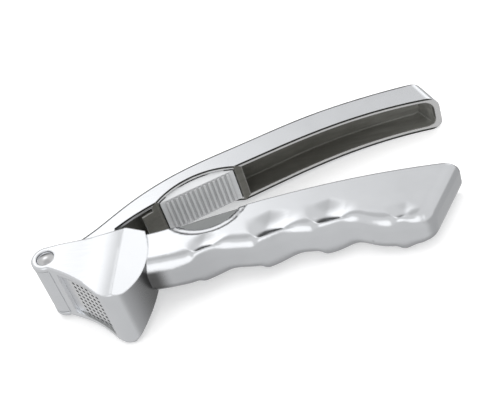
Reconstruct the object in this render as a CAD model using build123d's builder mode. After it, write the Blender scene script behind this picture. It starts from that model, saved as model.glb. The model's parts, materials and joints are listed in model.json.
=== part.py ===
"""Garlic press: a finger-grip lower handle with a hopper, a lever with a plunger, and a stored cleaning tool.

The press is drawn with the hinge axis on Z and the mid plane at Z = 0. The lower handle runs along +X and
the upper handle opens towards +Y. At the end every piece is moved so that the press lies on its side on
Z = 0.
"""

import os
from math import cos, radians, sin, sqrt

from build123d import *

os.makedirs("parts", exist_ok=True)

# Hopper, in millimetres
hopper_width = 31.0
cheek_wall = 2.4
cheek_end_radius = 6.2
cheek_edge_radius = 0.9
cheek_top_front = 6.2
cheek_top_rear = 7.6
hopper_radius = 42.0
hopper_wall = 3.0
shoulder_lean = 8.2
shoulder_front = 32.4
shoulder_rear = 42.2
shoulder_step = 0.5
shoulder_wall = 1.6
cheek_hollow_start = 18.0
cheek_hollow_depth = 0.45
heel_radius = 6.5

# Sieve, whose plane leans down from the hinge
sieve_angle = -41.4
sieve_offset = 0.3
sieve_thickness = 1.3
sieve_front = 7.2
sieve_ledge = 0.9
sieve_play = 0.1
lip_depth = 2.4
lip_arch = 1.4
window_front = 9.0
window_heel = 9.0
hole_diameter = 1.6
hole_sides = 8
hole_pitch = 2.5
first_hole = 15.2

# Lower handle
grip_width = 17.6
grip_wall = 3.0
grip_edge_radius = 6.0
grip_top = [(37.0, 7.6), (46.0, 7.3), (60.0, 9.2), (85.0, 12.0), (125.0, 13.5), (171.9, 9.8)]
grip_waves = [(57.5, -11.3), (72.5, -8.1), (87.5, -10.2), (101.0, -7.4), (113.5, -9.5), (124.0, -8.4),
              (147.0, -15.8)]
grip_heel = (37.0, -11.6)
pommel_corner = (156.6, -16.2)
pommel_radius = 8.0
finger_scoop_radius = 22.0
finger_scoops = [(66.5, -5.4, 0.7), (95.5, -3.9, 1.1), (118.5, -3.6, 1.1), (146.0, -7.6, 0.8)]
trough_start = 47.0
trough_floor = 4.6
trough_end_wall = 4.0
dish_centre = (66.4, 21.3)
dish_radius = 20.7
dish_floor_radius = 16.9
dish_depth = 1.2

# Hinge
pin_radius = 2.5
pin_head_radius = 3.6
pin_head_height = 1.1
pin_rim_height = 0.4
cap_stem_radius = 1.6
cap_stem_length = 4.0
cap_stem_play = 0.1
counterbore_radius = 3.9
barrel_radius = 6.0
barrel_gap = 0.4
side_gap = 0.3
running_clearance = 0.04
press_clearance = 0.01

# Upper handle at the opening that the photograph shows
lever_hinge_width = 24.0
lever_end_width = 18.0
lever_wall = 2.0
lever_roof = 2.2
lever_end_radius = 5.0
lever_top_radius = 2.0
lever_top = [(12.0, 9.8), (30.8, 23.7), (57.3, 39.1), (84.2, 47.9), (111.2, 55.9), (138.1, 60.7),
             (164.0, 62.6)]
lever_rim = [(170.2, 49.8), (145.4, 49.6), (123.4, 46.3), (101.2, 40.5), (80.4, 34.0), (46.7, 22.5),
             (28.5, 12.0)]
lever_throat = (15.0, 3.5)
arch_sagitta = 5.0
arch_start = (46.7, 22.9)
arch_end = (80.4, 34.1)
stop_block_start = -26.3
stop_block_width = 14.4
front_web_start = -21.1
front_web_end = -17.4
bulkhead_start = 17.4
bulkhead_end = 21.0
pocket_radius = 3.0

# Plunger, which closes on the sieve when the press shuts
closing_angle = 8.0
plunger_gap = 1.0
plunger_end_gap = 1.3
plunger_side_gap = 0.4
plunger_height = 6.0
plunger_front = 9.0
plunger_heel_radius = 2.0
plunger_pivot_along = 19.5
plunger_pivot_height = 12.5
plunger_boss_radius = 3.8
plunger_pin_radius = 1.9
lug_radius = 4.0
lug_gap = 0.3
neck_thickness = 7.0

# Cleaner
cleaner_length = 34.0
cleaner_play = 0.12
cleaner_arch_gap = 0.35
cleaner_plate_height = 4.2
cleaner_plate_length = 27.0
cleaner_pin_diameter = 1.3
cleaner_pin_height = 4.4
rib_count = 14
rib_pitch = 2.15
rib_radius = 0.7
rib_end_margin = 0.6

# Places worked out from those sizes
reach = 200.0
half_hopper = hopper_width / 2
inside_half = half_hopper - cheek_wall
half_grip = grip_width / 2
chamber_radius = hopper_radius - hopper_wall
window_rear = hopper_radius - window_heel
chamber_shoulder = shoulder_front - shoulder_step
chamber_rear_half = half_grip - shoulder_wall
seat_height = -sieve_offset - sieve_thickness
lip_height = seat_height - lip_depth
holes_along = int((chamber_shoulder - first_hole - hole_diameter / 2) / hole_pitch) + 1
holes_across = int((2 * (inside_half - sieve_ledge) - hole_diameter) / hole_pitch) + 1
plunger_angle = sieve_angle + closing_angle
plunger_face = plunger_gap - sieve_offset
head_seat = half_hopper - pin_head_height
socket_floor = cap_stem_length - head_seat


def beside_line(angle, along, height):
    """Point at a distance along a line through the hinge, and a height square to that line."""
    turn = radians(angle)
    return (along * cos(turn) - height * sin(turn), along * sin(turn) + height * cos(turn))


def on_sieve(along, height):
    """Point beside the sieve's own line."""
    return beside_line(sieve_angle, along, height)


def chamber_plan(half_width, shoulder, rear, rear_half_width):
    """Half a plan of the space in the hopper: distance from the hinge, then height above the mid plane."""
    Polyline((0, 0), (0, half_width), (shoulder, half_width), (rear, rear_half_width), (rear, 0), close=True)


def lever_half_width(along):
    """Half the upper handle's width at a distance from the hinge."""
    return (lever_hinge_width + (lever_end_width - lever_hinge_width) * along / lever_rim[0][0]) / 2


def lever_plan(inset):
    """Plan of the upper handle, or of the space inside it, on the plane that the side view is square to."""
    front = lever_half_width(-barrel_radius) - inset
    end = lever_half_width(reach) - inset
    Polygon((-barrel_radius, front), (reach, end), (reach, -end), (-barrel_radius, -front), align=None)


def below_roof(share, depth):
    """Point under the upper handle's top line, at a share of its length."""
    tangent = lever_top_line % share
    return lever_top_line @ share + Vector(tangent.Y, -tangent.X) * depth


shoulder_plane = Plane((0, 0, 0), x_dir=(*beside_line(-shoulder_lean, 1, 0), 0),
                       z_dir=(*beside_line(-shoulder_lean, 0, -1), 0))
sieve_plane = Plane((0, 0, 0), x_dir=(*on_sieve(1, 0), 0), z_dir=(*on_sieve(0, 1), 0))
plunger_pivot = beside_line(plunger_angle, plunger_pivot_along, plunger_pivot_height)
arch_chord = Vector(*arch_end) - Vector(*arch_start)
arch_radius = (arch_chord.length**2 / 4 + arch_sagitta**2) / (2 * arch_sagitta)
cleaner_plane = Plane((Vector(*arch_start) + Vector(*arch_end)) / 2, x_dir=arch_chord, z_dir=(0, 0, 1))
lever_top_line = Spline((0, barrel_radius), *lever_top)
roof_shares = (0.12, 0.25, 0.4, 0.55, 0.7, 0.85, 0.985)

# Lower handle without its hopper: a scalloped bar, rounded below
with BuildPart() as grip:
    with BuildSketch(Plane.XY.offset(-half_grip)) as grip_face:
        with BuildLine():
            top_line = Spline(*grip_top)
            pommel_run = Vector(*pommel_corner) - Vector(*grip_waves[-1])
            wave_line = Spline(grip_heel, *grip_waves, tangents=[(1, 0), (pommel_run.X, pommel_run.Y)])
            Line(wave_line @ 1, pommel_corner)
            Line(pommel_corner, top_line @ 1)
            Line(top_line @ 0, wave_line @ 0)
        make_face()
        fillet(grip_face.vertices().sort_by_distance((*pommel_corner, 0))[0], pommel_radius)
    extrude(amount=grip_width)
    side_edges = grip.faces().filter_by(Axis.Z).edges()
    rim_edges = side_edges.sort_by(Axis.Y)[-2:]
    heel_edges = side_edges.sort_by(Axis.X)[:2]
    under_edges = [edge for edge in side_edges if edge not in rim_edges and edge not in heel_edges]
    fillet(under_edges, grip_edge_radius)
    for scoop_x, scoop_y, depth in finger_scoops:
        scoop_z = half_grip + finger_scoop_radius - depth
        with Locations((scoop_x, scoop_y, scoop_z), (scoop_x, scoop_y, -scoop_z)):
            Sphere(finger_scoop_radius, rotation=(90, 0, 0), mode=Mode.SUBTRACT)

# Space inside the lower handle, open on top
with BuildPart() as trough:
    with BuildSketch():
        with BuildLine():
            floor_points = [(x, y + trough_floor) for x, y in grip_waves]
            floor_line = Spline((trough_start, grip_heel[1] + trough_floor), *floor_points)
            Line(floor_line @ 1, (grip_top[-1][0] - trough_end_wall, grip_top[-1][1]))
            Line((grip_top[-1][0] - trough_end_wall, grip_top[-1][1]), (grip_top[-1][0], reach))
            Line((grip_top[-1][0], reach), (trough_start, reach))
            Line((trough_start, reach), floor_line @ 0)
        make_face()
    extrude(amount=half_grip - grip_wall, both=True)

# Space inside the hopper, above the sieve's seat
with BuildPart() as chamber:
    with BuildSketch():
        with BuildLine():
            Polyline(on_sieve(-reach, seat_height), on_sieve(reach, seat_height), on_sieve(reach, reach),
                     on_sieve(-reach, reach), close=True)
        make_face()
    extrude(amount=inside_half, both=True)
    with BuildSketch(Plane.XZ):
        with BuildLine():
            chamber_plan(inside_half, chamber_shoulder, chamber_radius, chamber_rear_half)
        make_face()
        mirror(about=Plane.XZ)
    revolve(axis=Axis.Z, mode=Mode.INTERSECT)

# Lower handle: hopper cheeks and heel, grip, and all that is hollowed out of them
with BuildPart() as lower_handle:
    with BuildSketch(Plane.XY.offset(-half_hopper)) as cheek_face:
        lip_start = on_sieve(sqrt(cheek_end_radius**2 - lip_height**2), lip_height)
        lip_end = on_sieve(window_rear, lip_height)
        lip_middle = on_sieve(window_rear / 2, lip_height + lip_arch)
        top_slope = (cheek_top_rear - cheek_top_front) / grip_heel[0]
        top_end = (reach, cheek_top_front + top_slope * reach)
        Circle(hopper_radius)
        with BuildLine():
            Line((0, cheek_top_front), top_end)
            Line(top_end, on_sieve(reach, lip_height))
            Line(on_sieve(reach, lip_height), lip_end)
            ThreePointArc(lip_end, lip_middle, lip_start)
            Line(lip_start, (0, cheek_top_front))
        make_face(mode=Mode.INTERSECT)
        fillet(cheek_face.vertices().sort_by(Axis.Y)[0], heel_radius)
        Circle(cheek_end_radius)
    extrude(amount=hopper_width)
    fillet(lower_handle.faces().filter_by(Axis.Z).edges(), cheek_edge_radius)
    with BuildSketch(shoulder_plane):
        with BuildLine():
            dip = ((cheek_hollow_start + shoulder_front) / 2, half_hopper - cheek_hollow_depth)
            cheek_hollow = Spline((cheek_hollow_start, half_hopper), dip, (shoulder_front, half_hopper))
            Polyline(cheek_hollow @ 1, (shoulder_rear, half_grip), (reach, half_grip), (reach, 0),
                     (-reach, 0), (-reach, half_hopper), cheek_hollow @ 0)
        make_face()
        mirror(about=Plane.XZ)
    extrude(amount=reach, both=True, mode=Mode.INTERSECT)
    add(grip.part)
    add(chamber.part, mode=Mode.SUBTRACT)
    add(trough.part, mode=Mode.SUBTRACT)
    Cylinder(barrel_radius + barrel_gap, 2 * inside_half, mode=Mode.SUBTRACT)
    with BuildSketch(sieve_plane):
        with Locations(((window_front + window_rear) / 2, 0)):
            Rectangle(window_rear - window_front, 2 * (inside_half - sieve_ledge))
    extrude(amount=-reach, mode=Mode.SUBTRACT)
    Cylinder(pin_radius + press_clearance, hopper_width, mode=Mode.SUBTRACT)
    with Locations((0, 0, half_hopper), (0, 0, -half_hopper)):
        Cylinder(counterbore_radius, 2 * pin_head_height, mode=Mode.SUBTRACT)
    with Locations((*dish_centre, half_grip), Location((*dish_centre, -half_grip), (180, 0, 0))):
        Cone(dish_floor_radius, 2 * dish_radius - dish_floor_radius, 2 * dish_depth, mode=Mode.SUBTRACT)

# Sieve: a punched plate that drops on the ledge round the window
with BuildPart() as sieve_plate:
    with BuildSketch(sieve_plane.offset(seat_height)):
        with Locations((sieve_front, 0)):
            Rectangle(reach, 2 * (inside_half - sieve_play), align=(Align.MIN, Align.CENTER))
        with Locations((first_hole + hole_pitch * (holes_along - 1) / 2, 0)):
            with GridLocations(hole_pitch, hole_pitch, holes_along, holes_across):
                RegularPolygon(hole_diameter / 2, hole_sides, mode=Mode.SUBTRACT)
    extrude(amount=sieve_thickness)
    with BuildSketch(Plane.XZ):
        with BuildLine():
            chamber_plan(inside_half, chamber_shoulder, chamber_radius - sieve_play,
                         chamber_rear_half - sieve_play)
        make_face()
        mirror(about=Plane.XZ)
    revolve(axis=Axis.Z, mode=Mode.INTERSECT)

# Hinge pin: domed head at one end, socket for the cap at the other
with BuildPart() as hinge_pin:
    with BuildSketch(Plane.XZ):
        with BuildLine():
            Polyline((0, half_hopper), (0, socket_floor), (cap_stem_radius, socket_floor),
                     (cap_stem_radius, -head_seat), (pin_radius, -head_seat), (pin_radius, head_seat),
                     (pin_head_radius, head_seat), (pin_head_radius, head_seat + pin_rim_height))
            TangentArc((0, half_hopper), (pin_head_radius, head_seat + pin_rim_height), tangent=(1, 0))
        make_face()
    revolve(axis=Axis.Z)

# Cap pressed in the far end of the hinge pin
with BuildPart() as hinge_pin_cap:
    with BuildSketch(Plane.XZ):
        with BuildLine():
            stem_end = socket_floor - cap_stem_play
            stem_radius = cap_stem_radius - press_clearance
            Polyline((0, -half_hopper), (0, stem_end), (stem_radius, stem_end), (stem_radius, -head_seat),
                     (pin_head_radius, -head_seat), (pin_head_radius, -head_seat - pin_rim_height))
            TangentArc((0, -half_hopper), (pin_head_radius, -head_seat - pin_rim_height), tangent=(1, 0))
        make_face()
    revolve(axis=Axis.Z)

# Space inside the upper handle: three pockets, parted by a web with a stop block on it and by the bulkhead
with BuildPart() as lever_hollow:
    with BuildSketch():
        with BuildLine():
            roof_line = Spline(*[below_roof(share, lever_roof) for share in roof_shares])
            end_top = roof_line @ 1
            end_rim = Vector(*lever_rim[0]) - Vector(lever_roof, 0)
            Polyline(end_top, end_rim, (end_rim.X, -reach), (lever_throat[0], -reach), lever_throat,
                     roof_line @ 0)
        make_face()
    extrude(amount=lever_hinge_width, both=True)
    with BuildSketch(Plane.XZ):
        lever_plan(lever_wall)
    extrude(amount=reach, both=True, mode=Mode.INTERSECT)
    with BuildSketch(cleaner_plane):
        for start, end in ((front_web_start, front_web_end), (bulkhead_start, bulkhead_end)):
            with Locations(((start + end) / 2, 0)):
                Rectangle(end - start, reach)
    extrude(amount=lever_hinge_width, both=True, mode=Mode.SUBTRACT)
    with BuildSketch(cleaner_plane):
        with Locations(((stop_block_start + front_web_end) / 2, 0)):
            Rectangle(front_web_end - stop_block_start, reach)
    extrude(amount=stop_block_width / 2, both=True, mode=Mode.SUBTRACT)
    rear_pocket = lever_hollow.solids().sort_by(Axis.X)[-1]
    pocket_ends = rear_pocket.faces().sort_by(Axis.X)
    fillet((pocket_ends[0].edges() + pocket_ends[-1].edges()).filter_by(Axis.Z, reverse=True), pocket_radius)

# Upper handle: channel-shaped arm with the hinge barrel and two lugs for the plunger's pin
with BuildPart() as upper_handle:
    with BuildSketch(Plane.XY.offset(-lever_hinge_width / 2)):
        with BuildLine():
            add(lever_top_line)
            Line(lever_top_line @ 1, lever_rim[0])
            rim_line = Spline(*lever_rim)
            Polyline(rim_line @ 1, (plunger_pivot[0] + lug_radius, plunger_pivot[1]),
                     (plunger_pivot[0] - lug_radius, plunger_pivot[1]), lever_throat, (0, 0),
                     lever_top_line @ 0)
        make_face()
        with Locations(plunger_pivot):
            Circle(lug_radius)
    extrude(amount=lever_hinge_width)
    with BuildSketch(Plane.XZ):
        lever_plan(0)
    extrude(amount=reach, both=True, mode=Mode.INTERSECT)
    end_face = upper_handle.faces().sort_by(Axis.X)[-1]
    fillet(end_face.edges().filter_by(Axis.Z, reverse=True), lever_end_radius)
    top_face = upper_handle.faces().filter_by(GeomType.EXTRUSION).sort_by(Axis.Y)[-1]
    fillet(top_face.edges().sort_by(Axis.X)[1:], lever_top_radius)
    add(lever_hollow.part, mode=Mode.SUBTRACT)
    with BuildSketch(cleaner_plane):
        with Locations((0, arch_sagitta - arch_radius)):
            Circle(arch_radius)
    extrude(amount=lever_hinge_width, both=True, mode=Mode.SUBTRACT)
    Cylinder(barrel_radius, 2 * (inside_half - side_gap))
    Cylinder(pin_radius + running_clearance, hopper_width, mode=Mode.SUBTRACT)
    with Locations(plunger_pivot):
        Cylinder(plunger_pin_radius + press_clearance, hopper_width, mode=Mode.SUBTRACT)

# Plunger: foot shaped like the inside of the hopper, and a neck that hangs on the cross pin
with BuildPart() as plunger:
    with BuildSketch(Plane.XY.rotated((0, 0, plunger_angle))) as foot_face:
        Circle(chamber_radius - plunger_end_gap)
        with Locations((plunger_front, plunger_face)):
            Rectangle(reach, plunger_height, align=(Align.MIN, Align.MIN), mode=Mode.INTERSECT)
        fillet(foot_face.vertices().sort_by(Axis.X)[-2:], plunger_heel_radius)
    extrude(amount=half_hopper, both=True)
    with BuildSketch(Plane.XZ):
        with BuildLine():
            chamber_plan(inside_half - plunger_side_gap, chamber_shoulder - plunger_end_gap / 2,
                         chamber_radius - plunger_end_gap, chamber_rear_half - plunger_side_gap)
        make_face()
        mirror(about=Plane.XZ)
    revolve(axis=Axis.Z, mode=Mode.INTERSECT)
    with BuildSketch(Plane.XY.rotated((0, 0, plunger_angle))):
        with Locations((plunger_pivot_along, plunger_face)):
            Rectangle(neck_thickness, plunger_pivot_height - plunger_face, align=(Align.CENTER, Align.MIN))
        with Locations((plunger_pivot_along, plunger_pivot_height)):
            Circle(plunger_boss_radius)
    extrude(amount=lever_half_width(plunger_pivot[0] + plunger_boss_radius) - lever_wall - lug_gap, both=True)
    with Locations(plunger_pivot):
        Cylinder(plunger_pin_radius + running_clearance, hopper_width, mode=Mode.SUBTRACT)

# Cross pin of the plunger, flush with the lugs
with BuildPart() as plunger_pin:
    with Locations(plunger_pivot):
        Cylinder(plunger_pin_radius, 2 * lever_half_width(plunger_pivot[0] + plunger_pin_radius))

# Cleaner: lens-shaped grip with a ribbed face, and pins that match the sieve's holes
with BuildPart() as cleaner:
    with BuildSketch(cleaner_plane):
        with Locations((0, arch_sagitta - arch_radius)):
            Circle(arch_radius - cleaner_arch_gap)
        Rectangle(cleaner_length, arch_radius, align=(Align.CENTER, Align.MIN), mode=Mode.INTERSECT)
        Rectangle(cleaner_plate_length, cleaner_plate_height, align=(Align.CENTER, Align.MIN))
    extrude(amount=lever_hinge_width, both=True)
    with BuildSketch(Plane.XZ):
        lever_plan(lever_wall + cleaner_play)
    extrude(amount=reach, both=True, mode=Mode.INTERSECT)
    with BuildSketch(cleaner_plane):
        with GridLocations(rib_pitch, 1, rib_count, 1):
            Circle(rib_radius)
    extrude(amount=lever_half_width(arch_end[0]) - lever_wall - rib_end_margin, both=True)
    pin_plane = Plane(cleaner_plane.origin, x_dir=cleaner_plane.x_dir, z_dir=cleaner_plane.y_dir)
    with BuildSketch(pin_plane.offset(cleaner_plate_height)):
        with GridLocations(hole_pitch, hole_pitch, holes_across, holes_along):
            RegularPolygon(cleaner_pin_diameter / 2, hole_sides)
    extrude(amount=cleaner_pin_height)

lower_handle.part.label = "lower_handle"
sieve_plate.part.label = "sieve_plate"
hinge_pin.part.label = "hinge_pin"
hinge_pin_cap.part.label = "hinge_pin_cap"
upper_handle.part.label = "upper_handle"
plunger.part.label = "plunger"
plunger_pin.part.label = "plunger_pin"
cleaner.part.label = "cleaner"

# Lay the press on its side, centred over the origin
pieces = (lower_handle, sieve_plate, hinge_pin, hinge_pin_cap, upper_handle, plunger, plunger_pin, cleaner)
box = Compound([piece.part for piece in pieces]).bounding_box()
to_floor = Location((-box.center().X, -box.center().Y, -box.min.Z))
for piece in pieces:
    export_step(piece.part.moved(to_floor), f"parts/{piece.part.label}.step")
print("hinge axis at", to_floor.position)
print("plunger pivot at", to_floor.position + Vector(*plunger_pivot))
print("cleaner leaves along", -cleaner_plane.y_dir)
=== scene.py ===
"""A garlic press in polished aluminium: the looks of each piece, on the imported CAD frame."""
import json
import math

import bmesh
import bpy
from mathutils import Matrix, Vector


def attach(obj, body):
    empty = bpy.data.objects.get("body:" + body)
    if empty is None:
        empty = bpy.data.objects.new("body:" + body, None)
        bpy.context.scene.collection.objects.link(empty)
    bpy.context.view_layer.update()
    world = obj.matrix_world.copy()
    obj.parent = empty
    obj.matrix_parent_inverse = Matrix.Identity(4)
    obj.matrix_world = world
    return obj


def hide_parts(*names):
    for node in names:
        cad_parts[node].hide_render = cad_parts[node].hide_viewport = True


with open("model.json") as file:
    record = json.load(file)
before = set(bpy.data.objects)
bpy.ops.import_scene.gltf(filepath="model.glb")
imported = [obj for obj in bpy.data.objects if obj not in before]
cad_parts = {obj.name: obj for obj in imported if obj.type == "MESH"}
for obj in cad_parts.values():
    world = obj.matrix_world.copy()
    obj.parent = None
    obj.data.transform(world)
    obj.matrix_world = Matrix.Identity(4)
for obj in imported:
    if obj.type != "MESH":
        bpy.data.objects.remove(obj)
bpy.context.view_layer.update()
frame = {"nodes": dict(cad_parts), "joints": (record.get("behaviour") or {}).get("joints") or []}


# Lower handle: one aluminium die casting, with the hopper for the cloves at its front and a scalloped grip
# behind it. The outside is tumbled and polished to a satin shine; the thumb dish on the grip is left
# blasted, and the hopper and the trough in the grip's top keep the dull skin of the mould.
class Socket:
    """An output socket of a node tree; arithmetic on it adds Math nodes to that tree."""

    def __init__(self, tree, output=None):
        self.tree = tree
        self.output = output

    def node(self, kind, settings=None, sockets=None, out=0):
        """Add a node with these settings and the values or links of its sockets; gives one of its outputs."""
        node = self.tree.nodes.new(kind)
        for name, value in (settings or {}).items():
            setattr(node, name, value)
        for name, value in (sockets or {}).items():
            if isinstance(value, Socket):
                self.tree.links.new(value.output, node.inputs[name])
            else:
                node.inputs[name].default_value = value
        return Socket(self.tree, node.outputs[out] if node.outputs else None)

    def maths(self, operation, first, second):
        return self.node("ShaderNodeMath", {"operation": operation}, {0: first, 1: second})

    def __add__(self, other):
        return self.maths("ADD", self, other)

    def __sub__(self, other):
        return self.maths("SUBTRACT", self, other)

    def __rsub__(self, other):
        return self.maths("SUBTRACT", other, self)

    def __mul__(self, other):
        return self.maths("MULTIPLY", self, other)

    def __abs__(self):
        return self.node("ShaderNodeMath", {"operation": "ABSOLUTE"}, {0: self})

    __radd__ = __add__
    __rmul__ = __mul__


def new_finish(name):
    """An empty material and its Object coordinates, in metres of the shared frame."""
    material = bpy.data.materials.new(name)
    material.use_nodes = True
    material.node_tree.nodes.clear()
    place = Socket(material.node_tree).node("ShaderNodeTexCoord", out="Object")
    return material, place


def show(surface):
    surface.node("ShaderNodeOutputMaterial", None, {"Surface": surface})


def grain(place, size, detail=2.0, stretch=(1.0, 1.0, 1.0)):
    """Noise whose spots are about `size` metres across, longer where `stretch` is above 1."""
    stretched = place.node("ShaderNodeMapping", {"vector_type": "POINT"},
                           {"Vector": place, "Scale": [1.0 / (size * longer) for longer in stretch]})
    return place.node("ShaderNodeTexNoise", {"noise_dimensions": "3D"},
                      {"Vector": stretched, "Scale": 1.0, "Detail": detail, "Roughness": 0.55})


def ramp(value, start, end, top=1.0, form="SMOOTHSTEP"):
    """0 to `top` as a value goes from `start` to `end`, smoothly unless the form says otherwise."""
    return value.node("ShaderNodeMapRange", {"interpolation_type": form},
                      {"Value": value, "From Min": start, "From Max": end, "To Max": top})


def mixed(amount, first, second):
    """The colour that lies this amount of the way from one colour to another."""
    first, second = [colour if isinstance(colour, Socket) else (*colour, 1.0) for colour in (first, second)]
    return amount.node("ShaderNodeMix", {"data_type": "RGBA"},
                       {"Factor": amount, "A": first, "B": second}, out=2)


def openness(place):
    """1 on open faces and edges, and less in corners and grooves about a millimetre wide."""
    return place.node("ShaderNodeAmbientOcclusion", {"samples": 8, "only_local": True},
                      {"Distance": 0.0012}, out="AO")


def satin_aluminium(name, dark, light, shine, edge=0.0003, painted_shade=None):
    """Tumbled and polished aluminium: faint clouds, fine drawn-out scratches, and softened edges.

    The last argument gives, for a place, how much painted shade darkens the colour there, from 0 to 1; the
    finish is rougher there too.
    """
    material, place = new_finish(name)
    clouds = grain(place, size=0.012, detail=3.0)
    scratches = grain(place, size=0.0004, stretch=(22.0, 1.6, 1.6))
    speckle = grain(place, size=0.00035, detail=1.0)
    colour = mixed(clouds, dark, light)
    roughness = shine + (clouds - 0.5) * 0.10 + (scratches - 0.5) * 0.10
    # Painted shade: a dark grey is mixed into the colour where the given mask is high
    if painted_shade:
        shade_and_dullness = painted_shade(place)
        painted_shade_grey = (0.16, 0.16, 0.16)
        colour = mixed(shade_and_dullness, colour, painted_shade_grey)
        roughness = roughness + shade_and_dullness * 0.15
    rounded = place.node("ShaderNodeBevel", {"samples": 4}, {"Radius": edge})
    relief = place.node("ShaderNodeBump", None,
                        {"Height": scratches * 0.6 + speckle * 0.4, "Strength": 0.05, "Distance": 0.0002,
                         "Normal": rounded})
    show(place.node("ShaderNodeBsdfPrincipled", None,
                    {"Base Color": colour, "Metallic": 1.0, "Normal": relief, "Roughness": roughness}))
    return material


def cast_skin(name, dark, light, worn_and_lit_colour, edge=0.0005, patch_size=0.006, flow=1.0, painted_light=None):
    """The dull skin that the mould leaves on aluminium: grainy, patchy, and lighter along its edges, partly
    as wear and partly as a painted highlight.

    The patches are drawn out `flow` times along the handle; the last argument gives where light is painted
    into the colour.
    """
    material, place = new_finish(name)
    patches = grain(place, patch_size, detail=4.0, stretch=(flow, 1.0, 1.0))
    grit = grain(place, size=0.0006, detail=3.0)
    rounded = place.node("ShaderNodeBevel", {"samples": 6}, {"Radius": edge})
    flat = place.node("ShaderNodeNewGeometry", out="Normal")
    turned = place.node("ShaderNodeVectorMath", {"operation": "DOT_PRODUCT"},
                        {0: rounded, 1: flat}, out="Value")
    # Wear and painted highlight: convex edges are coloured lighter, though not in corners
    worn_and_highlit_edge = ramp(turned, 0.99, 0.86, form="LINEAR")
    open_edge = ramp(openness(place), 0.62, 0.80, form="LINEAR")
    worn_and_painted_light = worn_and_highlit_edge * open_edge * (0.4 + patches * 0.8)
    # Painted light: the skin is coloured lighter where the given mask is high
    if painted_light:
        worn_and_painted_light = worn_and_painted_light + painted_light(place) * patches
    colour = mixed(worn_and_painted_light, mixed(patches * 0.6 + grit * 0.4, dark, light), worn_and_lit_colour)
    relief = place.node("ShaderNodeBump", None,
                        {"Height": grit * 0.7 + patches * 0.3, "Strength": 0.5, "Distance": 0.0003,
                         "Normal": rounded})
    show(place.node("ShaderNodeBsdfPrincipled", None,
                    {"Base Color": colour, "Metallic": 0.55 + worn_and_highlit_edge * 0.35, "Normal": relief,
                     "Roughness": 0.5 + grit * 0.2 - worn_and_highlit_edge * 0.2}))
    return material


def cad_copy(node, materials, rework):
    """A copy of a CAD node's mesh with its loose triangles merged and then reworked.

    Faces that the rework gives back get new normals, and the others keep the exact ones of the CAD.
    """
    mesh = frame["nodes"][node].data.copy()
    mesh.name = node + "_finish"
    mesh.materials.clear()
    for material in materials:
        mesh.materials.append(material)
    kept = mesh.attributes.new("cad_normal", "FLOAT_VECTOR", "CORNER")
    kept.data.foreach_set("vector", [value for corner in mesh.corner_normals for value in corner.vector])
    shape = bmesh.new()
    shape.from_mesh(mesh)
    bmesh.ops.remove_doubles(shape, verts=shape.verts, dist=1e-6)
    reworked = rework(shape)
    shape.to_mesh(mesh)
    shape.free()
    normals = [corner.vector.normalized() for corner in mesh.attributes["cad_normal"].data]
    for face in reworked:
        for corner in mesh.polygons[face].loop_indices:
            normals[corner] = mesh.vertices[mesh.loops[corner].vertex_index].normal.copy()
    mesh.normals_split_custom_set(normals)
    piece = bpy.data.objects.new(node + "_finish", mesh)
    bpy.context.scene.collection.objects.link(piece)
    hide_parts(node)
    return piece


# Sizes are in millimetres and places are counted from the hinge: along the handles, up, and to the side
MM = 0.001
hinge = Vector(next(joint["pos_m"] for joint in frame["joints"] if joint["name"] == "handle_hinge"))
# How near to a plane or an edge a corner counts as on it, and the parts of a face's normal along an axis that
# count as much and as little
slack = 0.01
mostly, hardly = 0.5, 0.3
grip_half = 8.8
grip_start, grip_end = 46.0, 152.0
grip_wall = 3.0
grip_round = 6.0
trough_half = grip_half - grip_wall
trough_floor = 2.0
underside_half = grip_half - grip_round
# Stretch of the grip's sides that the hollows shape, and how soon their work runs out at its two ends
shaped_start, shaped_end = 50.0, 154.0
shaped_low, shaped_high = -16.0, 6.0
shaped_top = 5.5
fade_in, fade_out = 8.0, 3.0
# Each finger hollow: place along the grip, height of its deepest line above the underside, reach towards the
# hinge, reach away from it, reach up, and depth
hollows = [(64.5, 4.4, 4.5, 12.0, 6.5, 0.6), (91.5, 6.2, 4.5, 16.0, 9.0, 1.05),
           (116.0, 6.2, 4.5, 14.0, 8.5, 1.05), (146.5, 4.6, 4.5, 7.5, 6.0, 0.5)]
hollow_lean = 0.35
hollow_fan = 0.6
hollow_edge = 2.2
# Lower wall of a hollow: it stands on a lip that is slightly proud, and runs out along the grip
lip_height = 1.3
lip_share = -0.45
lip_curve = 1.5
wall_taper = 1.5
wall_least = 0.15
# Heights over which the sides roll into the underside
ridge_roll = 7.5
hollow_roll = 2.2
pommel_roll = 6.5
pommel_start, pommel_full = 144.5, 151.0
roll_power = 2.6
dish_centre = Vector((66.4, 21.3))
dish_radius = 20.7
dish_floor_radius = 16.9
dish_depth = 1.2
# Depths across the dish's step, from the floor's edge to the rim, in equal shares of its width
dish_steps = [dish_depth, 0.45, 0.40, 0.40, 0.38, 0.0]
cheek_tilt = math.radians(8.2)
cheek_lean = Vector((math.cos(cheek_tilt), -math.sin(cheek_tilt), 0.0))
cheek_half = 15.5
cheek_band = 1.5
cheek_edge = 1.05
cheek_flat_end = 5.0
cheek_waist = 21.0
cheek_ridge = 32.4
cheek_waist_depth = 0.9
cheek_straight_share = 0.7
hopper_start = 8.0
hopper_inside_half = 13.1
pin_seat_radius = 3.9
pin_seat_floor = 14.4
# Corner behind the hopper's heel, and the underside after it, where shade is painted into the polish's colour
corner_top, corner_low = -4.5, -9.5
corner_start, corner_full, corner_fade, corner_end = 31.0, 42.0, 43.0, 50.0
underside_fade_end = 115.0
aluminium_dark = (0.785, 0.80, 0.825)
aluminium_light = (0.88, 0.895, 0.92)
aluminium_shine = 0.16
worn_and_highlit_edge_colour = (0.75, 0.76, 0.77)
blasted_dark, blasted_light = (0.27, 0.28, 0.28), (0.34, 0.35, 0.35)
mould_dark, mould_light = (0.40, 0.41, 0.41), (0.50, 0.51, 0.51)
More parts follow.
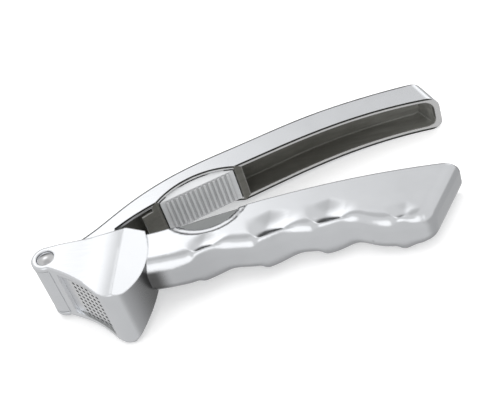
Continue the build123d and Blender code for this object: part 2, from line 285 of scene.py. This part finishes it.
# Near-black for the pin's seat: a painted shadow in the gap round the pin's head
seat_shadow_dark, seat_shadow_light = (0.03, 0.03, 0.03), (0.06, 0.06, 0.06)


def from_hinge(point):
    """A point of the shared frame in millimetres from the hinge."""
    return (point - hinge) / MM


def coordinate(place, axis):
    """One coordinate of a finish's place, in metres from the hinge."""
    centred = place.node("ShaderNodeMapping", {"vector_type": "POINT"}, {"Vector": place, "Location": -hinge})
    return place.node("ShaderNodeSeparateXYZ", None, {"Vector": centred}, out=axis)


def smooth_step(value, start, end):
    share = min(1.0, max(0.0, (value - start) / (end - start)))
    return share * share * (3.0 - 2.0 * share)


def between(table, place):
    """Value at a place between whole numbers, from a table that has one for each."""
    before = math.floor(place)
    return table[before] + (table[before + 1] - table[before]) * (place - before)


def with_edges(faces):
    """Faces after their own corners and edges, as the cutting plane takes them."""
    corners = dict.fromkeys(corner for face in faces for corner in face.verts)
    edges = dict.fromkeys(edge for face in faces for edge in face.edges)
    return [*corners, *edges, *faces]


def cut_plane(shape, parts, place, way):
    """Cut parts of a shape by a plane; gives what they have become."""
    return bmesh.ops.bisect_plane(shape, geom=parts, dist=1e-7, plane_co=place, plane_no=way)["geom"]


def slice_faces(shape, faces, axis, first, last, step):
    """Cut faces by planes square to an axis, from one distance to another."""
    parts = with_edges(faces)
    for number in range(int((last - first) / step) + 1):
        parts = cut_plane(shape, parts, hinge + axis * (first + number * step) * MM, axis)
    return [part for part in parts if isinstance(part, bmesh.types.BMFace)]


def faces_touching(shape, moved):
    """Numbers of the faces that have a corner at one of the moved places."""
    shape.faces.index_update()
    return {face.index for face in shape.faces if any(corner.co.to_tuple() in moved for corner in face.verts)}


def hollow_at(along, above):
    """Depth of the finger hollows at a place on the grip's side, and how near it is to one, from 0 to 1."""
    depth = 0.0
    nearest = 0.0
    for place, height, reach_back, reach_on, reach_up, deepest in hollows:
        across = along - place - hollow_lean * (above - height)
        across /= reach_on if across > 0 else reach_back + hollow_fan * max(0.0, above - lip_height)
        wall = (height - lip_height) * max(wall_least, 1.0 - wall_taper * max(0.0, across))
        from_deepest = above - lip_height - wall
        if from_deepest > 0:
            profile = max(0.0, 1.0 - (from_deepest / reach_up) ** 2) ** 2
        else:
            profile = 1.0 - (1.0 - lip_share) * min(1.0, -from_deepest / wall) ** lip_curve
        depth += deepest * max(0.0, 1.0 - across * across) ** 2 * profile
        nearest = max(nearest, math.exp(-hollow_edge * across**4))
    return depth, nearest


def press_finger_hollows(shape):
    """Press soft hollows in the grip's sides, and roll the ridges between them into the underside."""
    sides = []
    for face in shape.faces:
        along, up, side = from_hinge(face.calc_center_median())
        faces_in = face.normal.z * side < -mostly * abs(side)
        floor = face.normal.y > mostly and abs(side) < trough_half
        if along > grip_start and abs(side) > underside_half - slack and not faces_in and not floor:
            sides.append(face)
    sides = slice_faces(shape, sides, Vector((1, 0, 0)), shaped_start, shaped_end, 1.0)
    slice_faces(shape, sides, Vector((0, 1, 0)), shaped_low, shaped_high, 0.5)
    underside = {}
    for corner in shape.verts:
        along, up = from_hinge(corner.co).xy
        if abs(along - round(along)) < slack:
            underside[round(along)] = min(up, underside.get(round(along), 0.0))
    moved = set()
    for corner in shape.verts:
        along, up, side = from_hinge(corner.co)
        in_dish = (Vector((along, up)) - dish_centre).length < dish_radius + slack
        if not shaped_start < along < shaped_end or up > shaped_top or in_dish:
            continue
        above = max(0.0, up - between(underside, along))
        in_trough = abs(side) < trough_half + slack and above > trough_floor
        if in_trough or abs(side) < underside_half + slack:
            continue
        depth, nearest = hollow_at(along, above)
        roll = ridge_roll + (hollow_roll - ridge_roll) * nearest
        roll += (pommel_roll - roll) * smooth_step(along, pommel_start, pommel_full)
        if above < roll:
            rounded_off = 1.0 - (1.0 - (1.0 - above / roll) ** roll_power) ** (1.0 / roll_power)
            depth += (grip_round - depth) * rounded_off
        pressed = (smooth_step(along, shaped_start, shaped_start + fade_in)
                   * (1.0 - smooth_step(along, shaped_end - fade_out, shaped_end)))
        surface = math.copysign(grip_half - depth, side) * MM
        corner.co.z += (hinge.z + surface - corner.co.z) * pressed
        moved.add(corner.co.to_tuple())
    return moved


def step_dish(shape):
    """Turn the slope round the thumb dish into a flat ring between two small steps."""
    slope_edges = []
    for edge in shape.edges:
        ends = [from_hinge(corner.co) for corner in edge.verts]
        depths = sorted(grip_half - abs(end.z) for end in ends)
        in_dish = all((end.xy - dish_centre).length < dish_radius + slack for end in ends)
        if in_dish and abs(depths[0]) < slack and abs(depths[1] - dish_depth) < slack:
            slope_edges.append(edge)
    bmesh.ops.subdivide_edges(shape, edges=slope_edges, cuts=len(dish_steps) - 2)
    moved = set()
    for corner in shape.verts:
        place = from_hinge(corner.co)
        depth = grip_half - abs(place.z)
        on_slope = dish_floor_radius - slack < (place.xy - dish_centre).length < dish_radius + slack
        if on_slope and slack < depth < dish_depth - slack:
            stepped = between(dish_steps, (1.0 - depth / dish_depth) * (len(dish_steps) - 1))
            corner.co.z = hinge.z + math.copysign(grip_half - stepped, place.z) * MM
            moved.add(corner.co.to_tuple())
    return moved


def cheek_side(along):
    """Half the width over the hopper's cheeks, drawn in from the hinge to a waist and flared to the ridge."""
    share = min(1.0, max(0.0, (along - cheek_flat_end) / (cheek_waist - cheek_flat_end)))
    curved = (1.0 - cheek_straight_share) * smooth_step(share, 0.0, 1.0)
    drawn_in = cheek_waist_depth * (cheek_straight_share * share + curved)
    if along > cheek_waist:
        drawn_in *= 1.0 - ((along - cheek_waist) / (cheek_ridge - cheek_waist)) ** 2
    return cheek_half - drawn_in


def flare_cheeks(shape):
    """Bring the cheeks' outsides to their flared shape, with the normals that it has."""
    cheeks = []
    for face in shape.faces:
        place = from_hinge(face.calc_center_median())
        if abs(place.z) > cheek_half - cheek_band and face.normal.z * place.z > 0:
            cheeks.append(face)
    slice_faces(shape, cheeks, cheek_lean, int(cheek_flat_end), int(cheek_ridge), 1.0)
    outside = {}
    for corner in shape.verts:
        place = from_hinge(corner.co)
        along = place.dot(cheek_lean)
        if abs(along - round(along)) < slack:
            outside[round(along)] = max(abs(place.z), outside.get(round(along), 0.0))
    kept_normal = shape.loops.layers.float_vector["cad_normal"]
    flat_out = 0.98
    beside = 0.05
    for corner in shape.verts:
        place = from_hinge(corner.co)
        along = place.dot(cheek_lean)
        if not cheek_flat_end < along < int(cheek_ridge):
            continue
        inward = between(outside, along) - abs(place.z)
        if inward < cheek_edge:
            corner.co.z = hinge.z + math.copysign(cheek_side(along) - inward, place.z) * MM
            spread = (cheek_side(along + beside) - cheek_side(along - beside)) / (2 * beside)
            for loop in corner.link_loops:
                if abs(loop[kept_normal].z) > flat_out:
                    loop[kept_normal] = Vector((0, 0, math.copysign(1.0, place.z))) - cheek_lean * spread


def finish_lower_handle(shape):
    """The forms that the polished casting has beside its CAD solid; gives the faces that need new normals."""
    moved = press_finger_hollows(shape) | step_dish(shape)
    flare_cheeks(shape)
    bmesh.ops.dissolve_degenerate(shape, dist=1e-5, edges=shape.edges)
    return faces_touching(shape, moved)


def corner_shade(place):
    """Painted shade, from 0 to 1: strongest in the corner behind the heel, and weaker on the underside after
    it.
    """
    along = coordinate(place, "X")
    flat = place.node("ShaderNodeNewGeometry", out="Normal")
    sideways = abs(place.node("ShaderNodeSeparateXYZ", None, {"Vector": flat}, out="Z"))
    off_side = ramp(sideways, 0.65, 0.25)
    after_heel = ramp(along, corner_start * MM, corner_full * MM)
    before_grip = ramp(along, corner_end * MM, corner_fade * MM)
    fading = ramp(along, underside_fade_end * MM, corner_end * MM)
    below = ramp(coordinate(place, "Y"), corner_top * MM, corner_low * MM)
    return after_heel * below * off_side * (before_grip * 0.8 + fading * 0.2)


polished = satin_aluminium("polished_aluminium", aluminium_dark, aluminium_light, aluminium_shine)
polished_casting = satin_aluminium("polished_casting", aluminium_dark, aluminium_light, aluminium_shine,
                                   edge=0.0009, painted_shade=corner_shade)
blasted = cast_skin("blasted_aluminium", blasted_dark, blasted_light, worn_and_highlit_edge_colour)
mould_skin = cast_skin("mould_skin", mould_dark, mould_light, worn_and_highlit_edge_colour)
# Painted shadow: the pin's seat is coloured near-black
seat_shadow = cast_skin("seat_shadow", seat_shadow_dark, seat_shadow_light, seat_shadow_light)
lower_finishes = [polished_casting, blasted, seat_shadow, mould_skin]
lower = cad_copy("lower_handle", lower_finishes, finish_lower_handle)
for face in lower.data.polygons:
    along, up, side = from_hinge(face.center)
    outward = Vector((along, up))
    dish_floor = (abs(abs(side) - grip_half + dish_depth) < slack
                  and (outward - dish_centre).length < dish_floor_radius + slack)
    pin_seat = outward.length < pin_seat_radius + slack and abs(abs(side) - pin_seat_floor) < slack
    faces_in = (face.normal.z * side < -mostly * abs(side)
                or face.normal.xy.dot(outward.normalized()) < -mostly)
    in_hopper = hopper_start < along < grip_start and abs(side) < hopper_inside_half + slack and faces_in
    in_trough = grip_start < along < grip_end and abs(side) < trough_half + slack and face.normal.y > -hardly
    finish = polished_casting
    if dish_floor:
        finish = blasted
    elif pin_seat:
        finish = seat_shadow
    elif in_hopper or in_trough:
        finish = mould_skin
    face.material_index = lower_finishes.index(finish)
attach(lower, "base")


# Sieve plate: stamped stainless sheet with rows of punched holes, dropped on the ledge inside the hopper. It
# keeps its rolled finish, which is duller than the polish of the castings.
def dress(node, material):
    """Give a CAD node's own mesh its finish."""
    frame["nodes"][node].data.materials.clear()
    frame["nodes"][node].data.materials.append(material)


dress("sieve_plate", satin_aluminium("sieve_steel", (0.86, 0.865, 0.875), (0.95, 0.955, 0.965), 0.30, 0.0001))


# Hinge pin: a turned steel pin with a domed, chrome-plated head, closed at the far side by a pressed cap. The
# plunger's cross pin is turned and plated in the same way.
chrome = satin_aluminium("chromed_steel", (0.70, 0.70, 0.71), (0.78, 0.78, 0.79), 0.05, 0.0001)
for turned_piece in ("hinge_pin", "hinge_pin_cap", "plunger_pin"):
    dress(turned_piece, chrome)


# Plunger: a cast aluminium block that swings into the hopper, polished as the handles are. It hangs from the
# lever by its cross pin, so that its foot can find the sieve.
dress("plunger", polished)


# Upper handle: a second casting, an upturned channel that tapers from the hinge to its rounded end. Its
# outside is polished as the lower one's; inside, the channel keeps the skin of the mould, coloured darker
# than that skin is as painted shade, and painted lighter towards its closed end.
lever_hinge_half = 12.0
lever_end_half = 9.0
lever_wall = 2.0
lever_roof = 2.2
# The end, seen from the side: the back's last point, the rim's last point, and the way that the back comes in
lever_corner = Vector((164.0, 62.6))
lever_rim_end = Vector((170.2, 49.8))
lever_back_way = Vector((-1.0, -0.045)).normalized()
lever_end_way = (lever_rim_end - lever_corner).normalized()
lever_taper = (lever_end_half - lever_hinge_half) / lever_rim_end.x
lever_corner_radius = 7.0
lever_end_zone = 150.0
polished_end_start = 162.0
channel_start = 20.0
channel_end = lever_rim_end.x - lever_roof
channel_end_lean = -lever_end_way.x / lever_end_way.y
channel_corner_radius = 4.5
channel_cut_reach = 40.0
skin_end = 168.5
rim_top = lever_rim_end.y + 1.0
corner_cuts = 10
end_light_start, end_light_full = 115.0, 170.0
# The channel's skin is coloured darker than cast aluminium is, partly as painted shade inside the channel
skin_dark, skin_light, skin_worn_and_lit = (0.11, 0.108, 0.095), (0.30, 0.295, 0.265), (0.66, 0.66, 0.64)
# The rim's bright colour, and the near-black of the painted shade line along it
rim_bright, rim_shade_colour = (0.80, 0.80, 0.80), (0.035, 0.035, 0.03)


def painted_end_light(place):
    """Painted light: 0 along the channel, rising towards its closed end, which is painted lighter."""
    return ramp(coordinate(place, "X"), end_light_start * MM, end_light_full * MM, top=0.5)


def ground_rim(name):
    """The channel's rim: ground bright on its inner half, with a line of painted shade along the polished
    side.
    """
    material, place = new_finish(name)
    half = lever_hinge_half * MM + coordinate(place, "X") * lever_taper
    from_side = half - abs(coordinate(place, "Z"))
    unevenness = (grain(place, size=0.003) - 0.5) * 0.0003
    # Painted shade: a near-black line along the rim's polished side
    rim_shade_line = ramp(from_side + unevenness, 0.0012, 0.0008)
    rounded = place.node("ShaderNodeBevel", {"samples": 4}, {"Radius": 0.0003})
    show(place.node("ShaderNodeBsdfPrincipled", None,
                    {"Base Color": mixed(rim_shade_line, rim_bright, rim_shade_colour), "Normal": rounded,
                     "Metallic": 1.0 - rim_shade_line * 0.5, "Roughness": 0.25 + rim_shade_line * 0.3}))
    return material


def round_lever_end(shape):
    """Round the corner where the lever's back runs into its end; gives the faces that it changed."""
    half_angle = lever_back_way.angle(lever_end_way) / 2
    inward = (lever_back_way + lever_end_way).normalized()
    centre = lever_corner + inward * (lever_corner_radius / math.sin(half_angle))
    reach = lever_corner_radius / math.tan(half_angle)
    first = lever_corner + lever_end_way * reach - centre
    turn = first.angle_signed(lever_corner + lever_back_way * reach - centre)
    outer_way = 0.15
    outside = [face for face in shape.faces
               if (face.normal.x > outer_way or face.normal.y > outer_way)
               and max(from_hinge(corner.co).x for corner in face.verts) > lever_end_zone]
    parts = with_edges(outside)
    middle = hinge + Vector((*centre, 0.0)) * MM
    for cut in range(corner_cuts + 1):
        ray = Matrix.Rotation(-turn * cut / corner_cuts, 2) @ first
        parts = cut_plane(shape, parts, middle, (-ray.y, ray.x, 0.0))
    moved = set()
    barely = 0.001
    for corner in shape.verts:
        ray = from_hinge(corner.co).xy - centre
        share = first.angle_signed(ray, 0.0) / turn
        if ray.length > lever_corner_radius + barely and -barely <= share <= 1.0 + barely:
            corner.co.xy = hinge.xy + (centre + ray * (lever_corner_radius / ray.length)) * MM
            moved.add(corner.co.to_tuple())
    return faces_touching(shape, moved)


def channel_room(corner):
    """How far a corner is from the channel's end wall and from its nearer side wall."""
    along, up, side = from_hinge(corner.co)
    end_wall = channel_end - (up - lever_rim_end.y) * channel_end_lean
    side_wall = lever_hinge_half + lever_taper * along - lever_wall
    return end_wall - along, side_wall - abs(side)


def round_channel_end(shape):
    """Round the two upright corners at the end of the channel."""
    inner = []
    for face in shape.faces:
        rooms = [channel_room(corner) for corner in face.verts]
        if face.normal.y < mostly and all(-slack < end_room < channel_cut_reach and side_room > -slack
                                          for end_room, side_room in rooms):
            inner.append(face)
    parts = with_edges(inner)
    end_wall = Vector((channel_end, lever_rim_end.y, 0.0))
    side_wall = lever_end_half - lever_wall
    for cut in range(1, corner_cuts + 1):
        depth = channel_corner_radius * (1 - math.cos(math.pi / 2 * cut / corner_cuts))
        parts = cut_plane(shape, parts, hinge + (end_wall - Vector((depth, 0, 0))) * MM,
                          (1.0, channel_end_lean, 0.0))
        for side in (depth - side_wall, side_wall - depth):
            parts = cut_plane(shape, parts, hinge + Vector((0, 0, side)) * MM, (0, 0, 1))
    for corner in shape.verts:
        end_room, side_room = channel_room(corner)
        ray = Vector((channel_corner_radius - end_room, channel_corner_radius - side_room))
        in_corner = end_room > -slack and side_room > -slack and min(ray) > 0
        if in_corner and ray.length > channel_corner_radius:
            shift = ray * (1 - channel_corner_radius / ray.length) * MM
            corner.co.x -= shift.x
            corner.co.z -= math.copysign(shift.y, corner.co.z - hinge.z)


def finish_upper_handle(shape):
    """The rounded end that the casting has beside its CAD solid; gives the faces that need new normals."""
    round_channel_end(shape)
    return round_lever_end(shape)


skin = cast_skin("cast_skin", skin_dark, skin_light, skin_worn_and_lit, edge=0.0011, patch_size=0.0025, flow=7.0,
                 painted_light=painted_end_light)
rim = ground_rim("ground_rim")
polished_end = satin_aluminium("polished_end", aluminium_dark, aluminium_light, aluminium_shine, edge=0.0010)
upper_finishes = [polished, skin, rim, polished_end]
upper = cad_copy("upper_handle", upper_finishes, finish_upper_handle)
for face in upper.data.polygons:
    along, up, side = from_hinge(face.center)
    inside_walls = abs(side) < lever_hinge_half + lever_taper * along - lever_wall + slack
    in_channel = inside_walls and channel_start < along < skin_end and face.normal.y < mostly
    outer_end = face.normal.x > mostly and along > lever_end_zone
    faces_down = face.normal.y < -mostly
    finish = polished_end if along > polished_end_start else polished
    if faces_down and along > polished_end_start and up < rim_top:
        finish = rim
    elif in_channel and not outer_end:
        finish = skin
    elif faces_down and along > channel_start and abs(face.normal.z) < hardly:
        finish = rim
    face.material_index = upper_finishes.index(finish)
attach(upper, "lever")


# Cleaner: a moulded grey plastic comb that stores in the upper handle's channel; its short pins push the
# last shreds out of the sieve, and the ribs across its bottom are there for the fingertips.
def moulded_plastic(name, dark, light, groove_shade):
    """Plastic with a fine moulded texture, faint flow marks, and painted shade in its grooves."""
    material, place = new_finish(name)
    flow = grain(place, size=0.009)
    texture = grain(place, size=0.00025, detail=1.0)
    # Painted shade: the colour darkens where the ribs close in round a groove
    unshaded = ramp(openness(place), 0.55, 0.95, form="LINEAR")
    rounded = place.node("ShaderNodeBevel", {"samples": 4}, {"Radius": 0.0003})
    relief = place.node("ShaderNodeBump", None,
                        {"Height": texture, "Strength": 0.12, "Distance": 0.0001, "Normal": rounded})
    show(place.node("ShaderNodeBsdfPrincipled", None,
                    {"Base Color": mixed(unshaded, groove_shade, mixed(flow, dark, light)), "Normal": relief,
                     "Roughness": 0.38 + flow * 0.1, "Specular IOR Level": 0.5}))
    return material


dress("cleaner", moulded_plastic("grey_plastic", (0.68, 0.69, 0.70), (0.76, 0.77, 0.78), (0.44, 0.44, 0.45)))


# Studio: the press lies on its side on a white table, on the hopper's cheek and the lever's tip, under a
# large soft light from behind and above, as seen from above the front.
table_half = 3.0
rest_x = -44.9
rest_slope = math.atan(0.0504)
table = bmesh.new()
bmesh.ops.create_grid(table, x_segments=1, y_segments=1, size=table_half)
bmesh.ops.rotate(table, verts=table.verts, cent=(0, 0, 0), matrix=Matrix.Rotation(-rest_slope, 3, "Y"))
bmesh.ops.translate(table, verts=table.verts, vec=(rest_x * MM, 0, 0))
table_mesh = bpy.data.meshes.new("table")
table.to_mesh(table_mesh)
table.free()
table_top = bpy.data.objects.new("table", table_mesh)
bpy.context.scene.collection.objects.link(table_top)
white, white_place = new_finish("white_table")
mottle = grain(white_place, size=0.05)
show(white_place.node("ShaderNodeBsdfPrincipled", None,
                      {"Base Color": (0.93, 0.93, 0.93, 1.0), "Roughness": 0.8 + mottle * 0.1,
                       "Emission Color": (1.0, 1.0, 1.0, 1.0), "Emission Strength": 0.3}))
table_mesh.materials.append(white)
table_top.visible_glossy = False

studio = bpy.data.worlds.new("studio")
studio.use_nodes = True
studio.node_tree.nodes.clear()
bpy.context.scene.world = studio
toward = Socket(studio.node_tree).node("ShaderNodeTexCoord", out="Generated")


def part_along(direction):
    """How far the direction that is looked in points along another one, from -1 to 1."""
    return toward.node("ShaderNodeVectorMath", {"operation": "DOT_PRODUCT"},
                       {0: toward, 1: Vector(direction).normalized()}, out="Value")


def glow(direction, inner, outer):
    """1 within `inner` degrees of a direction, falling smoothly to 0 at `outer` degrees."""
    return ramp(part_along(direction), math.cos(math.radians(outer)), math.cos(math.radians(inner)))


def turning(direction, start, end):
    """0 to 1 as the part of what is looked at along a direction goes from one value to another."""
    return ramp(part_along(direction), start, end)


to_right, to_back, to_sky, to_floor = (1, 0, 0), (0, 1, 0), (0, 0, 1), (0, 0, -1)
rear_lamp = (-0.27, 0.66, 0.70)
front_window = (-0.10, -0.82, 0.56)
right_window = (0.60, 0.74, 0.30)
dim_ceiling = (-0.13, 0.28, 0.95)
sky_level, ground_level = 0.70, 0.62
above_table = turning(to_sky, -0.06, 0.06)
rear_low = (turning(to_back, 0.70, 0.90) * (1.0 - turning(to_sky, 0.25, 0.60))
            * (1.0 - turning(to_right, 0.10, 0.35)))
sky = (sky_level + glow(rear_lamp, 2, 10) * 0.40 + glow(rear_lamp, 0, 16) * 0.25
       + glow(front_window, 22, 42) * 0.46 + glow(right_window, 16, 32) * 0.50
       - glow(dim_ceiling, 4, 20) * 0.16 - rear_low * 0.63)
ground = (ground_level - turning(to_right, 0.25, 0.70) * 0.20 - turning(to_back, 0.40, 0.70) * 0.15
          - turning(to_floor, 0.70, 0.98) * 0.25)
radiance = sky * above_table + ground * (1.0 - above_table)
toward.node("ShaderNodeOutputWorld", None,
            {"Surface": toward.node("ShaderNodeBackground", None,
                                    {"Color": (1.0, 1.0, 1.0, 1.0), "Strength": radiance})})

overhead_place = Vector((-0.1, 0.25, 0.9))
overhead = bpy.data.lights.new("overhead", "AREA")
overhead.shape = "RECTANGLE"
overhead.size, overhead.size_y = 0.9, 0.7
overhead.energy = 4.2
overhead_light = bpy.data.objects.new("overhead", overhead)
overhead_light.location = overhead_place
overhead_light.rotation_euler = (-overhead_place).to_track_quat("-Z", "Y").to_euler()
overhead_light.visible_glossy = False
bpy.context.scene.collection.objects.link(overhead_light)

bpy.context.scene.view_settings.view_transform = "Standard"

camera_place = Vector((74.41, -380.98, 397.0))
view = Vector((-0.13445, 0.70068, -0.70070))
view_up = Vector((0.21343, 0.71099, 0.67003))
focal_pixels = 1300.0
picture_width = 500.0
camera = bpy.data.cameras.new("camera")
camera.sensor_width = 36.0
camera.lens = camera.sensor_width * focal_pixels / picture_width
camera.clip_start = 0.01
camera_object = bpy.data.objects.new("camera", camera)
camera_object.matrix_world = (Matrix.Translation(camera_place * MM)
                              @ Matrix((view.cross(view_up), view_up, -view)).transposed().to_4x4())
bpy.context.scene.collection.objects.link(camera_object)
bpy.context.scene.camera = camera_object
